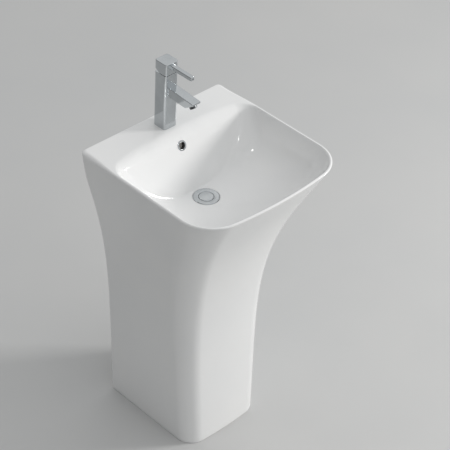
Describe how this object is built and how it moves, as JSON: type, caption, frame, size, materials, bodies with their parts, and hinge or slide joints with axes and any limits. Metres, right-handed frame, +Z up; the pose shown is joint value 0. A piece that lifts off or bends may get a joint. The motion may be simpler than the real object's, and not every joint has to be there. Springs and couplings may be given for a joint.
{
  "type": "pedestal sink",
  "caption": "One-piece ceramic pedestal wash basin with a flared hollow pedestal, deep bowl, square single-lever tap, overflow, click plug and bottle trap.",
  "frame": {"origin": "centre of the bounding box on the floor", "axes": "+Z up, +Y towards the wall, +X to the user's right when facing the wall"},
  "size_m": [0.4688, 0.4599, 1.039],
  "materials": {
    "glaze": "glossy white glaze",
    "chrome": "polished chrome",
    "chrome_pipe": "chromed pipe",
    "rubber": "moulded",
    "brass": "machined",
    "steel": "zinc plated",
    "plastic": "moulded",
    "disc_ceramic": "lapped",
    "plug_grey": "moulded"
  },
  "bodies": {
    "root": {"aerator_housing": "chrome", "aerator_insert": "plastic", "aerator_seal": "rubber", "cartridge_base": "plastic", "cartridge_housing": "plastic", "cartridge_nut": "brass", "cartridge_seals": "rubber", "ceramic_basin": "glaze", "clamp_gasket": "rubber", "clamp_plate": "steel", "click_cartridge": "plastic", "click_spring": "steel", "fixed_ceramic_disc": "disc_ceramic", "outlet_pipe": "chrome_pipe", "overflow_ring": "chrome", "stud_nut": "brass", "tap_base_seal": "rubber", "tap_body": "chrome", "tap_stud": "steel", "trap_body": "chrome_pipe", "trap_cup": "chrome_pipe", "trap_cup_seal": "rubber", "trap_dip_tube": "chrome_pipe", "trap_inlet_nut": "chrome_pipe", "trap_inlet_washer": "rubber", "trap_outlet_nut": "chrome_pipe", "trap_outlet_washer": "rubber", "wall_flange": "chrome_pipe", "waste_backnut": "brass", "waste_body": "chrome", "waste_bottom_washer": "rubber", "waste_top_seal": "rubber"},
    "rotor": {"spindle_guide": "plastic", "spindle_pin": "steel"},
    "lever": {"cartridge_spindle": "brass", "handle_block": "chrome", "lever_bar": "chrome", "handle_grub_screw": "steel", "screw_plug": "plug_grey"},
    "disc": {"moving_ceramic_disc": "disc_ceramic", "disc_driver": "plastic"},
    "plug": {"plug_cap": "chrome", "plug_seal": "rubber", "plug_stem": "brass"}
  },
  "joints": [
    {"name": "temperature_turn", "type": "hinge", "parent": "root", "child": "rotor", "pos_m": [0, 0.183, 1.008], "axis": [0, 0, 1], "range_deg": [-45, 45]},
    {"name": "flow_tilt", "type": "hinge", "parent": "rotor", "child": "lever", "pos_m": [0, 0.183, 1.008], "axis": [-1, 0, 0], "range_deg": [0, 18.91]},
    {"name": "disc_slide", "type": "slide", "parent": "rotor", "child": "disc", "axis": [0, -1, 0], "range_m": [0, 0.00425]},
    {"name": "plug_lift", "type": "slide", "parent": "root", "child": "plug", "axis": [0, 0, 1], "range_m": [0, 0.008], "deforming": ["click_spring"]}
  ],
  "couplings": [
    {"joint": "disc_slide", "follows": "flow_tilt", "m_per_rad": 0.012765}
  ]
}
